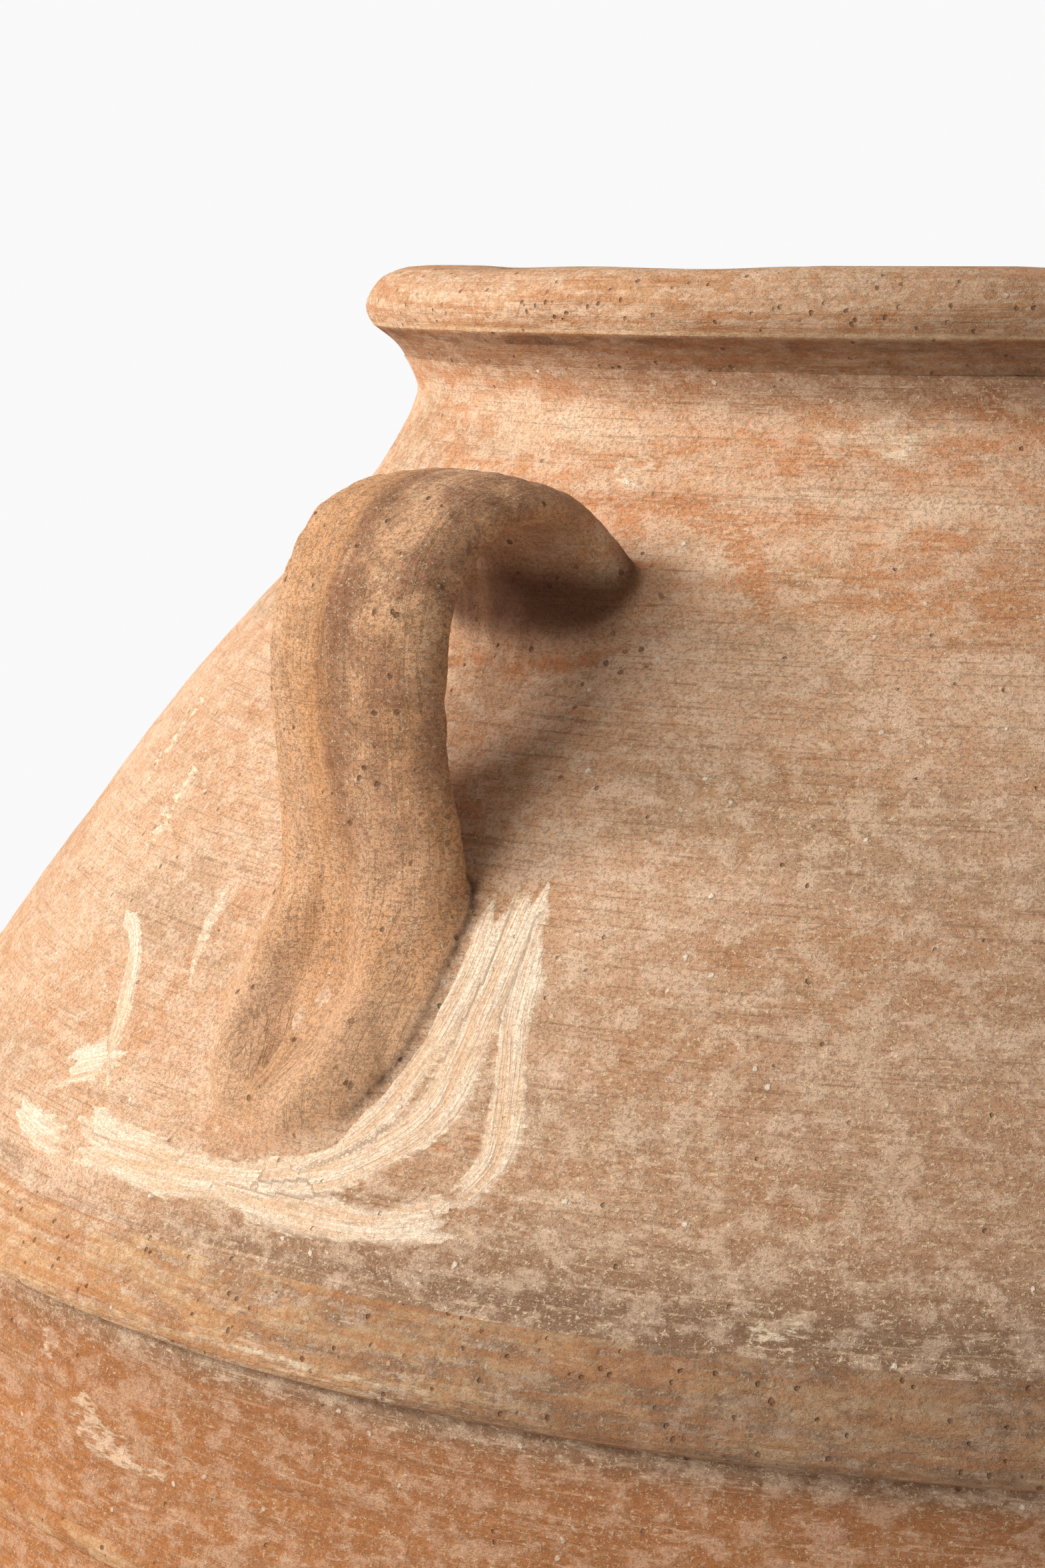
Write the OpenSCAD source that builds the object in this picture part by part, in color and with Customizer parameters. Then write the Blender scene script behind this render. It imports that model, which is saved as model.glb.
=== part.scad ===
// Hand-built terracotta olive jar: thrown sections luted together, a rolled
// rim, an applied ridge and ring, and two strap handles on the shoulder.
// Millimetres, +Z up, origin at the centre of the foot, handles on +X and -X.

/* [Whole jar] */
// Overall height, from the foot to the top of the rim
jar_h = 760; // [740:5:820]
// Thickness of the thrown wall, measured square to it
wall = 14; // [11:0.5:16]
// Diameter of the flat foot
foot_d = 250; // [200:5:320]
// Thickness of the base slab
base_t = 22; // [18:1:28]
// How far the inner edge of each seam lies above its outer edge
scarf = 7; // [0:0.5:9]

/* [Belly] */
// Widest diameter of the thrown wall
belly_d = 626; // [616:2:660]
// Height of the widest line above the ground
belly_z = 455; // [430:5:480]
// Height of the seam between the lower and the middle section
low_seam_z = 170; // [140:5:200]
// Height of the seam between the middle and the belly section
mid_seam_z = 360; // [320:5:390]
// Drop from the rim's lower edge to the middle of the belly ring
ring_drop = 255.5; // [248:0.5:264]
// Height of the belly ring
ring_h = 7; // [5:0.5:10]
// How far the belly ring stands proud of the wall
ring_proud = 1.6; // [1:0.1:3]

/* [Shoulder] */
// Drop from the rim's lower edge to the shoulder's lower end
shoulder_h = 206; // [196:1:216]
// Outside diameter of the wall at the shoulder's lower end
shoulder_d = 609; // [595:1:614]
// Height of the applied ridge, which ends just below the shoulder
ridge_h = 19; // [14:1:22]
// How far the ridge stands proud of the wall
ridge_proud = 4.6; // [3:0.2:6]
// Depth of the shallow groove above the ridge
groove_depth = 1.2; // [0.4:0.1:2]
// Height of the groove over the shoulder's lower end
groove_rise = 20.5; // [18:0.5:30]

/* [Neck and rim] */
// Outside diameter of the neck at its narrowest
neck_d = 336.4; // [326:0.2:344]
// Drop from the rim's lower edge to the neck's narrowest line
neck_drop = 16.2; // [14:0.2:20]
// Drop from the rim's lower edge to the seam of neck and shoulder
neck_seam_drop = 34; // [30:1:38]
// Diameter of the rim's sharp lower edge
rim_d = 360; // [352:1:366]
// Height of the rim's outer face
rim_h = 15.5; // [13:0.5:20]
// How far the rim's face bulges past its lower edge
rim_bulge = 2; // [0.5:0.5:3]
// Radius of the rim's outer top edge
rim_round = 10; // [5:0.5:12]
// Radius of the mouth's inner top edge
lip_round = 5; // [2:0.5:6]

/* [Handles] */
// Width of the strap at its narrowest
strap_w = 50; // [42:1:54]
// Width of the pressed root at the strap's lower end
root_w = 57; // [54:1:62]
// How far the strap's fall leans to the left of its upper root
strap_lean = 3; // [0:0.5:5]
// Height of the strap's crown over its two edges
strap_crown = 11; // [8:0.5:13]
// Depth of the strap's back under its two edges
strap_back = 4; // [3:0.5:5.5]
// Drop from the rim's lower edge to the arch's edge line
arch_drop = 37; // [34:1:40]
// How far the edge line falls from the arch's top to its outermost point
arch_fall = 27; // [24:1:30]
// Distance of the arch's edge line from the shoulder at its outermost
arch_reach = 50; // [46:1:54]
// Drop from the rim's lower edge to the middle of the upper root
upper_root_drop = 55; // [53:1:58]
// Drop from the rim's lower edge to the tip of the lower root
lower_root_drop = 165; // [160:1:170]
// Depth of the thumb print in the lower root
print_depth = 4.5; // [2:0.5:6]
// How deep the strap's edge line starts inside the wall's face
upper_root_sink = 3; // [2:0.5:4]
// How deep the strap's edge line runs inside the wall's face at its lower root
lower_root_sink = 6; // [4:0.5:7]
// Width of the thumb print
print_w = 26; // [20:1:30]
// Height of the thumb print, measured up the jar
print_h = 34; // [26:1:38]
// Height of the print's middle over the tip of the lower root
print_rise = 26; // [22:1:30]
// Height of the clay wad under the upper root
wad_h = 20; // [12:1:22]
// Thickness of the slip brushed round the lower root
slip_t = 1.2; // [0.8:0.1:2]
// Width of the slip on the root's right side
slip_right = 34; // [20:1:40]
// Width of the slip under the root's toe
slip_under = 17; // [10:1:18]
// Width of the slip on the root's left side
slip_left = 22; // [12:1:30]

/* [Seam coils] */
// Height of the coil pressed into each inner seam
coil_h = 24; // [18:1:30]
// How far each coil stands proud of the inner wall
coil_proud = 4; // [2:0.5:6]

/* [Hidden] */
$fn = 128;

clay = [0.80, 0.60, 0.45];
pale_clay = [0.88, 0.72, 0.56];
brown_clay = [0.68, 0.47, 0.33];
slip_clay = [0.93, 0.80, 0.64];

foot_r = foot_d / 2;
belly_r = belly_d / 2;
shoulder_r = shoulder_d / 2;
neck_r = neck_d / 2;
throat_r = neck_r - wall;
rim_r = rim_d / 2;
rim_z = jar_h - rim_h;
neck_z = rim_z - neck_drop;
shoulder_z = rim_z - shoulder_h;
shoulder_rise = neck_z - shoulder_z;
foot_chamfer = 3;
// Clearance between curved faces that lie on each other
seat_gap = 0.15;

// Outline of the outer wall. Below the widest line it is given as shares of
// that height and of the swell over the foot, and above it as shares of the
// shoulder's rise and of its swell over the neck.
belly_shape = [[0, 0], [0.16, 0.34], [0.36, 0.64], [0.6, 0.87], [0.82, 0.975], [1, 1]];
shoulder_shape = [
    [0, 1], [0.084, 0.963], [0.148, 0.916], [0.216, 0.839], [0.4, 0.65], [0.585, 0.456],
    [0.769, 0.224], [0.864, 0.103], [0.938, 0.034], [1, 0]
];
stations = concat(
    [for (p = belly_shape) [p[0] * belly_z, foot_r + p[1] * (belly_r - foot_r)]],
    [for (p = shoulder_shape)
        [shoulder_z + p[0] * shoulder_rise, neck_r + p[1] * (shoulder_r - neck_r)]],
    [[neck_z + neck_drop * 0.7, neck_r + 0.5 * (rim_r - neck_r)], [rim_z, rim_r]]
);
last_station = len(stations) - 1;

// Slope of the outline at one station, from its neighbours
function station_slope(i) =
    let (a = stations[max(i - 1, 0)], b = stations[min(i + 1, last_station)])
    i == last_station ? 1.1 : (b[1] - a[1]) / (b[0] - a[0]);
function station_below(z, i = 0) =
    i >= last_station - 1 || z <= stations[i + 1][0] ? i : station_below(z, i + 1);
function smooth_r(z) =
    let (
        i = station_below(z),
        p = stations[i],
        q = stations[i + 1],
        h = q[0] - p[0],
        t = (z - p[0]) / h
    )
    (1 + 2 * t) * pow(1 - t, 2) * p[1] + t * pow(1 - t, 2) * h * station_slope(i)
    + t * t * (3 - 2 * t) * q[1] - t * t * (1 - t) * h * station_slope(i + 1);

// Shallow groove turned above the ridge
groove_z = shoulder_z + groove_rise;
function groove(z) = groove_depth * exp(-pow((z - groove_z) / 3, 2));

// The wall's outline is drawn with short straight steps, so that every
// piece on it can lie on the same faces
low_step = 9;
fine_step = 4;
fine_z = belly_z;
outer_table = concat(
    [for (z = [0:low_step:fine_z - 1]) [z, smooth_r(z)]],
    [for (z = [fine_z:fine_step:rim_z - 1]) [z, smooth_r(z) - groove(z)]],
    [[rim_z, rim_r]]
);
function wall_r(z) = lookup(z, outer_table);

function inner_r(z) =
    let (
        slope = (smooth_r(z + 1) - smooth_r(z - 1)) / 2,
        r = smooth_r(z) - wall * sqrt(1 + slope * slope)
    )
    z > belly_z ? max(throat_r, r) : r;
inner_table = [for (p = outer_table) if (p[0] > 1) [p[0], inner_r(p[0])]];
function inner_wall_r(z) = lookup(z, inner_table);

// Heights of the outline's own steps between two heights
function steps_between(low, high) =
    concat([low], [for (p = outer_table) if (p[0] > low + 0.5 && p[0] < high - 0.5) p[0]], [high]);
function outer_run(low, high) = [for (z = steps_between(low, high)) [wall_r(z), z]];
function inner_run(low, high) = [for (z = steps_between(low, high)) [inner_wall_r(z), z]];
function reversed(list) = [for (i = [len(list) - 1:-1:0]) list[i]];

// One thrown ring of wall. Each end is cut on a slant, its inner edge higher
// than its outer one, and lies face to face with the next section's end.
module thrown_section(low, high, low_scarf, high_scarf) {
    rotate_extrude()
        polygon(concat(
            outer_run(low, high),
            reversed(inner_run(low + low_scarf, high + high_scarf))
        ));
}

module base_slab() {
    color(brown_clay)
        rotate_extrude()
            polygon(concat(
                [[0, 0], [foot_r - foot_chamfer, 0]],
                outer_run(foot_chamfer, base_t),
                [[0, base_t]]
            ));
}

module lower_section() {
    color(brown_clay) thrown_section(base_t, low_seam_z, 0, scarf);
}

module middle_section() {
    color(brown_clay) thrown_section(low_seam_z, mid_seam_z, scarf, scarf);
}

module belly_section() {
    color(brown_clay) thrown_section(mid_seam_z, ridge_seam_z, scarf, scarf);
}

module shoulder_section() {
    color(clay) thrown_section(ridge_seam_z, neck_seam_z, scarf, 0);
}

// Seam of belly and shoulder, hidden behind the ridge
ridge_z = shoulder_z - 2;
ridge_seam_z = ridge_z + ridge_h / 2;
neck_seam_z = rim_z - neck_seam_drop;

// The rim's roll of clay sits on the neck at a slanted seam
rim_seam_z = rim_z - neck_drop / 2;
rim_seam_rise = 5;
throat_z = neck_seam_z + 8;

module neck_section() {
    color(clay)
        rotate_extrude()
            polygon(concat(
                outer_run(neck_seam_z, rim_seam_z),
                [[throat_r, rim_seam_z + rim_seam_rise], [throat_r, throat_z]],
                [[inner_wall_r(neck_seam_z), neck_seam_z]]
            ));
}

function arc(centre, r, from, to, n) =
    [for (i = [0:n]) centre + r * [cos(from + (to - from) * i / n), sin(from + (to - from) * i / n)]];

module rim_roll() {
    round_z = jar_h - rim_round;
    face_r = rim_r + rim_bulge;
    color(pale_clay)
        rotate_extrude()
            polygon(concat(
                outer_run(rim_seam_z, rim_z),
                [[rim_r + rim_bulge * 0.7, (rim_z + round_z) / 2]],
                arc([face_r - rim_round, round_z], rim_round, 0, 90, 8),
                arc([throat_r + lip_round, jar_h - lip_round], lip_round, 90, 180, 6),
                [[throat_r, rim_seam_z + rim_seam_rise]]
            ));
}

// A band of clay on the outside of the wall. Its bulge peaks at the share
// peak of its height, counted from its lower edge.
module applied_band(low, high, proud, peak) {
    n = 12;
    bulge = [for (i = [1:n - 1])
        let (
            t = i / n,
            z = low + t * (high - low),
                swell = t < peak
                ? sqrt(1 - pow(1 - t / peak, 2))
                : pow(cos(90 * (t - peak) / (1 - peak)), 1.4)
        )
        [wall_r(z) + proud * swell, z]];
    rotate_extrude()
        polygon(concat([outer_run(low, high)[0]], bulge, reversed(outer_run(low, high))));
}

module shoulder_ridge() {
    color(pale_clay) applied_band(ridge_z, ridge_z + ridge_h, ridge_proud, 0.22);
}

module belly_ring() {
    middle = rim_z - ring_drop;
    color(pale_clay) applied_band(middle - ring_h / 2, middle + ring_h / 2, ring_proud, 0.5);
}

// A coil of clay pressed over a seam on the inside of the wall
module seam_coil(middle) {
    n = 10;
    low = middle - coil_h / 2;
    bulge = [for (i = [n - 1:-1:1])
        let (z = low + coil_h * i / n)
        [inner_wall_r(z) - coil_proud * sin(180 * i / n), z]];
    color(clay)
        rotate_extrude()
            polygon(concat(inner_run(low, low + coil_h), bulge));
}

// The coil in the corner between the base slab and the lower section
module base_seam_coil() {
    n = 6;
    high = base_t + coil_h / 2;
    corner = [inner_wall_r(base_t), base_t];
    top = [inner_wall_r(high), high];
    toe = corner - [coil_h / 2, 0];
    pull = (corner + (top + toe) / 2) / 2;
    hollow = [for (i = [1:n - 1])
        let (t = i / n)
        pow(1 - t, 2) * top + 2 * t * (1 - t) * pull + t * t * toe];
    color(clay) rotate_extrude() polygon(concat(inner_run(base_t, high), hollow, [toe]));
}

module low_seam_coil() {
    seam_coil(low_seam_z + scarf);
}

module mid_seam_coil() {
    seam_coil(mid_seam_z + scarf);
}

module ridge_seam_coil() {
    seam_coil(ridge_seam_z + scarf);
}

// Edge line of the strap in the handle's plane, as [distance from the jar's
// axis, height]. It leaves the shoulder, arches over and sinks into the wall.
upper_root_z = rim_z - upper_root_drop;
upper_root = [wall_r(upper_root_z), upper_root_z];
upper_slope = [1, (wall_r(upper_root_z - 5) - wall_r(upper_root_z + 5)) / 10];
arch_z = rim_z - arch_drop;
outermost_z = arch_z - arch_fall;
outermost = [wall_r(outermost_z) + arch_reach, outermost_z];
arch_span = outermost[0] - upper_root[0];
fall = outermost_z - (rim_z - lower_root_drop);
function down_strap(share, off_wall) =
    let (z = outermost_z - share * fall)
    [wall_r(z) + off_wall, z];
function over_arch(share, fall_share) =
    [upper_root[0] + share * arch_span, arch_z - fall_share * arch_fall];
edge_line = [
    upper_root - upper_root_sink * upper_slope / norm(upper_slope),
    over_arch(0.2, 0.2),
    over_arch(0.45, 0),
    over_arch(0.73, 0.11),
    over_arch(0.92, 0.48),
    outermost,
    down_strap(0.2, 0.6 * arch_reach),
    down_strap(0.4, 0.2 * arch_reach),
    down_strap(0.574, -0.4 * lower_root_sink),
    down_strap(0.743, -lower_root_sink),
    down_strap(0.88, -0.6 * lower_root_sink),
    down_strap(1, -0.25 * lower_root_sink)
];
spans = len(edge_line) - 1;

// Point and direction on a smooth curve through the edge line, where u
// counts its points
function curve_point(u) =
    let (
        i = min(floor(u), spans - 1),
        t = u - i,
        a = edge_line[max(i - 1, 0)],
        b = edge_line[i],
        c = edge_line[i + 1],
        d = edge_line[min(i + 2, spans)]
    )
    b + t * (c - a) / 2 + t * t * (2 * a - 5 * b + 4 * c - d) / 2
    + t * t * t * (3 * b - a - 3 * c + d) / 2;
function curve_direction(u) =
    let (v = curve_point(min(u + 0.05, spans)) - curve_point(max(u - 0.05, 0)))
    v / norm(v);

// Width and crown of the strap along the curve. It is pinched at mid height,
// spreads at both roots and ends in a round toe.
toe_start = 9;
function ease(t) = let (c = max(0, min(1, t))) c * c * (3 - 2 * c);
function toe(u) = u <= toe_start ? 1 : sqrt(max(0, 1 - pow((u - toe_start) / (spans - toe_start), 2)));
function strap_width(u) =
    let (spread = (root_w - strap_w) * (ease((u - 6.5) / 2) + 0.5 * ease(1 - u / 2)))
    (strap_w + spread) * (0.08 + 0.92 * toe(u));
function crown(u) = strap_crown * (0.1 + 0.9 * toe(u)) * (1 - 0.35 * ease(1 - abs(u - 1.2) / 2.6));
function lean(u) = -strap_lean * ease(u / 4);

// Thumb print pressed into the lower root, left of its middle
print_centre = [-2 * strap_lean, rim_z - lower_root_drop + print_rise];
function thumb_print(y, z) =
    print_depth * exp(-pow((y - print_centre[0]) / (print_w / 2), 2)
        - pow((z - print_centre[1]) / (print_h / 2), 2));

// Moves a point out to the wall's face plus a gap, if it lies inside that
function clear_of_wall(p, gap) =
    let (r = norm([p[0], p[1]]), least = wall_r(p[2]) + gap)
    r >= least ? p : [p[0] * least / r, p[1] * least / r, p[2]];

// Rings of the strap's mesh, closer together round the toe, and the least
// thickness that the crown keeps over the wall
ring_sides = 28;
ring_places = concat([for (i = [0:50]) i / 5], [for (i = [1:6]) 10 + sin(15 * i)]);
least_skin = 2.5;

function strap_point(u, side) =
    let (
        angle = 360 * side / ring_sides,
        p = curve_point(u),
        along = curve_direction(u),
        out = [-along[1], along[0]],
        y = strap_width(u) / 2 * cos(angle) + lean(u),
        s = sin(angle),
        plain = s >= 0 ? crown(u) * pow(s, 0.85) : -strap_back * toe(u) * pow(-s, 0.7),
        off = plain - (s > 0 ? thumb_print(y, p[1] + plain * out[1]) : 0),
        skin = u > 1 ? least_skin * max(s, 0) * (0.1 + toe(u)) : 0
    )
    clear_of_wall([p[0] + off * out[0], y, p[1] + off * out[1]], seat_gap + skin);

// Closed solid from rings of points. The two ends are closed with fans.
module ring_solid(rings) {
    n = len(rings[0]);
    m = len(rings);
    points = [for (ring = rings) each ring];
    function at(i, k) = i * n + k % n;
    function mean(ring) = [for (k = [0:2]) [for (p = ring) p[k]] * [for (p = ring) 1] / n];
    sides = [for (i = [0:m - 2], k = [0:n - 1]) each [
        [at(i, k), at(i + 1, k + 1), at(i, k + 1)],
        [at(i, k), at(i + 1, k), at(i + 1, k + 1)]
    ]];
    caps = [for (k = [0:n - 1]) each [
        [at(0, k), at(0, k + 1), n * m],
        [at(m - 1, k + 1), at(m - 1, k), n * m + 1]
    ]];
    polyhedron(concat(points, [mean(rings[0]), mean(rings[m - 1])]), concat(sides, caps));
}

// Closed solid from a grid of columns, each with a face chain and a back
// chain of the same count
module chain_solid(face, back) {
    n = len(face[0]);
    m = len(face);
    function f(i, j) = i * n + j;
    function b(i, j) = m * n + i * n + j;
    skins = [for (i = [0:m - 2], j = [0:n - 2]) each [
        [f(i, j), f(i, j + 1), f(i + 1, j + 1)],
        [f(i, j), f(i + 1, j + 1), f(i + 1, j)],
        [b(i, j), b(i + 1, j + 1), b(i, j + 1)],
        [b(i, j), b(i + 1, j), b(i + 1, j + 1)]
    ]];
    edges = [for (i = [0:m - 2], j = [0, n - 1], flip = [j == 0 ? 0 : 1]) each [
        flip ? [f(i, j), b(i, j), f(i + 1, j)] : [f(i, j), f(i + 1, j), b(i, j)],
        flip ? [f(i + 1, j), b(i, j), b(i + 1, j)] : [f(i + 1, j), b(i + 1, j), b(i, j)]
    ]];
    ends = [for (j = [0:n - 2], i = [0, m - 1], flip = [i == 0 ? 1 : 0]) each [
        flip ? [f(i, j), b(i, j), f(i, j + 1)] : [f(i, j), f(i, j + 1), b(i, j)],
        flip ? [f(i, j + 1), b(i, j), b(i, j + 1)] : [f(i, j + 1), b(i, j + 1), b(i, j)]
    ]];
    points = concat([for (c = face) each c], [for (c = back) each c]);
    polyhedron(points, concat(skins, edges, ends));
}

module strap_handle() {
    color(pale_clay)
        ring_solid([for (u = ring_places) [for (side = [0:ring_sides - 1]) strap_point(u, side)]]);
}

// Wad of clay thumbed into the corner under the upper root. Its upper face
// follows the strap's back and its foot lies on the shoulder.
wad_rings = 8;
wad_edge = 0.5;
module upper_wad() {
    sides = [for (side = [ring_sides - 1:-1:ring_sides / 2 + 1]) side];
    function back_point(side, j) = strap_point(ring_places[j], side) - [0, 0, seat_gap];
    function drop(side) =
        let (
            p = back_point(side, 0),
            z = p[2] - wad_h * (1 - 0.5 * pow(2 * p[1] / strap_width(0), 2)),
            outward = [p[0], p[1], 0] / norm([p[0], p[1]])
        )
        [0, 0, z] + outward * (wall_r(z) + seat_gap) - p;
    color(clay)
        chain_solid(
            [for (side = sides) [for (j = [0:wad_rings]) back_point(side, j)]],
            [for (side = sides) [for (j = [0:wad_rings])
                back_point(side, j) + drop(side) * pow(1 - j / wad_rings, 2)
                    - [0, 0, wad_edge * j / wad_rings]]]
        );
}

// Slip brushed round the lower root, from high on its right side round the
// toe and up its left side. It follows the strap's edge at its own clearance.
slip_from = 7.6;
slip_rings = concat(
    [for (i = [0:8]) slip_from + (10 - slip_from) * i / 8],
    [for (i = [1:5]) 10 + sin(17 * i)]
);
slip_across = 6;
function edge_place(u, hand) = [hand * strap_width(u) / 2 + lean(u), curve_point(u)[1]];
slip_path = concat(
    [for (u = slip_rings) edge_place(u, 1)],
    [for (u = reversed(slip_rings)) edge_place(u, -1)]
);
slip_last = len(slip_path) - 1;
function slip_width(k) =
    let (
        t = k / slip_last,
        middle = pow(sin(180 * t), 2),
        at_side = t < 0.5 ? slip_right : slip_left,
        taper = 0.25 + 0.75 * sqrt(sin(180 * t))
    )
    (middle * slip_under + (1 - middle) * at_side) * taper;
function slip_point(k, j, lift) =
    let (
        a = slip_path[max(k - 1, 0)],
        b = slip_path[min(k + 1, slip_last)],
        v = (b - a) / norm(b - a),
        out = [-v[1], v[0]],
        q = slip_path[k] + out * (1 + slip_width(k) * j / slip_across),
        r = wall_r(q[1]) + seat_gap + lift * slip_t * (0.25 + 0.75 * sin(180 * j / slip_across)),
        turn = q[0] / r * 180 / PI
    )
    [r * cos(turn), r * sin(turn), q[1]];
module root_slip() {
    color(slip_clay)
        chain_solid(
            [for (k = [0:slip_last]) [for (j = [0:slip_across]) slip_point(k, j, 1)]],
            [for (k = [0:slip_last]) [for (j = [0:slip_across]) slip_point(k, j, 0)]]
        );
}

module left_handle() {
    rotate(180) strap_handle();
}

module right_handle() {
    strap_handle();
}

module left_upper_wad() {
    rotate(180) upper_wad();
}

module right_upper_wad() {
    upper_wad();
}

module left_root_slip() {
    rotate(180) root_slip();
}

module right_root_slip() {
    root_slip();
}

base_slab();
lower_section();
middle_section();
belly_section();
shoulder_section();
neck_section();
rim_roll();
shoulder_ridge();
belly_ring();
base_seam_coil();
low_seam_coil();
mid_seam_coil();
ridge_seam_coil();
left_handle();
right_handle();
left_upper_wad();
right_upper_wad();
left_root_slip();
right_root_slip();
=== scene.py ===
"""The looks of a hand-built terracotta olive jar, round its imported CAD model.

Units are metres. The jar's axis is Z, it stands on z = 0, and its handles lie
on -X (the left one, which the picture shows) and +X. Angles round the jar run
from +X towards +Y.
"""

import math

import bmesh
import bpy
import numpy as np
from mathutils import Matrix, Vector, noise
from mathutils.kdtree import KDTree


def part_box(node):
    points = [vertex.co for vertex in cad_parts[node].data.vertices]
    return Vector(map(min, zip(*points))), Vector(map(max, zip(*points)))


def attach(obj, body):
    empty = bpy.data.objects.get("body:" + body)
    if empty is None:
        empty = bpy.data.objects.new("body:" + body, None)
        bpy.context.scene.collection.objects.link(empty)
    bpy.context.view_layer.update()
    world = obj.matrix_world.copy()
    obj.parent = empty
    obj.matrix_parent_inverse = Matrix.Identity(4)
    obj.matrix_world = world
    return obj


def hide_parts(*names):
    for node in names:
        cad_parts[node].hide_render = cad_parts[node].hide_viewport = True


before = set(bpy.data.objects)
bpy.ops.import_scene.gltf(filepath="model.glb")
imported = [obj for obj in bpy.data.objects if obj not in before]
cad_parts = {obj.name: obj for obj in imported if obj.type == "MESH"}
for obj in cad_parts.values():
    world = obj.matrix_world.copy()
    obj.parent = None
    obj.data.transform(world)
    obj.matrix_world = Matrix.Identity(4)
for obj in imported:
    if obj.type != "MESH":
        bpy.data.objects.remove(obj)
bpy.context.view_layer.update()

MM = 0.001
JAR_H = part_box("rim_roll")[1].z
RIM_H = 15.5 * MM
RIM_Z = JAR_H - RIM_H
RIM_RADIUS = 180 * MM
RIDGE_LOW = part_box("shoulder_ridge")[0].z

# The camera, solved from the rim's and the shoulder's outlines
CAMERA_PLACE = (-0.7447, -0.5023, 0.7592)
CAMERA_HEADING = 42.92
CAMERA_PITCH = -8.80
CAMERA_ROLL = 0.18
LENS = 76.53


def direction(turn, rise):
    """The direction at a turn round Z from +X and a rise above level, both in degrees."""
    turn, rise = math.radians(turn), math.radians(rise)
    return Vector((math.cos(rise) * math.cos(turn), math.cos(rise) * math.sin(turn), math.sin(rise)))


def set_camera():
    turn = direction(CAMERA_HEADING, CAMERA_PITCH).to_track_quat("-Z", "Y").to_matrix().to_4x4()
    roll = Matrix.Rotation(math.radians(CAMERA_ROLL), 4, "Z")
    data = bpy.data.cameras.new("camera")
    data.lens = LENS
    data.clip_start = 0.02
    camera = bpy.data.objects.new("camera", data)
    camera.matrix_world = Matrix.Translation(CAMERA_PLACE) @ turn @ roll
    bpy.context.scene.collection.objects.link(camera)
    bpy.context.scene.camera = camera


set_camera()


# Measuring the CAD model

def mesh_points(mesh):
    points = np.empty(len(mesh.vertices) * 3)
    mesh.vertices.foreach_get("co", points)
    return points.reshape(-1, 3)


def round_and_out(points):
    """Each point's angle round the jar, and its distance from the axis."""
    return np.arctan2(points[:, 1], points[:, 0]), np.hypot(points[:, 0], points[:, 1])


MERGE = 1e-6


def node_mesh(*nodes):
    """The meshes of some CAD nodes as one bmesh, with their loose triangles joined up."""
    bm = bmesh.new()
    for node in nodes:
        bm.from_mesh(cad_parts[node].data)
    bmesh.ops.remove_doubles(bm, verts=bm.verts, dist=MERGE)
    return bm


def cross_section(node):
    """A turned node's outline at angle 0: its (radius, height) points, and whether they close a loop.

    A solid node's outline starts and ends on the axis.
    """
    bm = node_mesh(node)
    cut = {v for v in bm.verts if abs(v.co.y) < MERGE and v.co.x > -MERGE}
    links = {v: [e.other_vert(v) for e in v.link_edges if e.other_vert(v) in cut] for v in cut}
    ends = [v for v in cut if len(links[v]) == 1]
    here = min(ends or cut, key=lambda v: (v.co.z, v.co.x))
    outline = [here]
    while True:
        onward = [v for v in links[here] if v not in outline]
        if not onward:
            break
        here = max(onward, key=lambda v: v.co.x) if len(outline) == 1 else onward[0]
        outline.append(here)
    points = np.array([(v.co.x, v.co.z) for v in outline])
    bm.free()
    if ends:
        points = np.array([(0, points[0, 1]), *points, (0, points[-1, 1])])
    return points, not ends


def runs_between_corners(points, closed, corner=24):
    """Splits an outline into its smooth runs, at the points where it turns by more than the corner angle."""
    count = len(points)
    here = range(count) if closed else range(1, count - 1)
    corners = []
    for i in here:
        a, b = points[i] - points[i - 1], points[(i + 1) % count] - points[i]
        turn = abs(math.atan2(a[0] * b[1] - a[1] * b[0], a[0] * b[0] + a[1] * b[1]))
        if math.degrees(turn) > corner:
            corners.append(i)
    if closed:
        points = np.roll(points, -corners[0], axis=0)
        corners = [i - corners[0] for i in corners] + [count]
        points = np.vstack([points, points[:1]])
    else:
        corners = [0] + corners + [count - 1]
    return [points[i:j + 1] for i, j in zip(corners, corners[1:])]


LONG_RUN = 12


def resampled(run, spacing):
    """A run of an outline as a smooth curve, without its last point.

    Its steps are even, apart from short ones at the ends of a run with many steps, which let the light
    cross a seam without a break.
    """
    way = np.concatenate([[0], np.cumsum(np.hypot(*np.diff(run, axis=0).T))])
    steps = max(1, round(way[-1] / spacing))
    even = np.linspace(0, way[-1], steps + 1)[:-1]
    if steps > LONG_RUN:
        ends = np.array([0.15, 0.5]) * spacing
        even = np.concatenate([even[:1], ends, even[1:], way[-1] - ends[::-1]])
    if len(run) < 3:
        return np.stack([np.interp(even, way, run[:, axis]) for axis in (0, 1)], axis=1)
    return np.stack([curve_through(way, run[:, axis])(even) for axis in (0, 1)], axis=1)


def curve_through(places, values):
    """A smooth curve through the values at rising places, as a function."""
    slopes = np.gradient(values, places)

    def value(x):
        x = np.asarray(x, float)
        i = np.clip(np.searchsorted(places, x) - 1, 0, len(places) - 2)
        step = places[i + 1] - places[i]
        t = np.clip((x - places[i]) / step, 0, 1)
        return (
            (1 + 2 * t) * (1 - t) ** 2 * values[i] + t * (1 - t) ** 2 * step * slopes[i]
            + t * t * (3 - 2 * t) * values[i + 1] - t * t * (1 - t) * step * slopes[i + 1]
        )

    return value


BELOW_RIDGE = ["base_slab", "lower_section", "middle_section", "belly_section"]
SECTIONS = BELOW_RIDGE + ["shoulder_section", "neck_section"]


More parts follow.
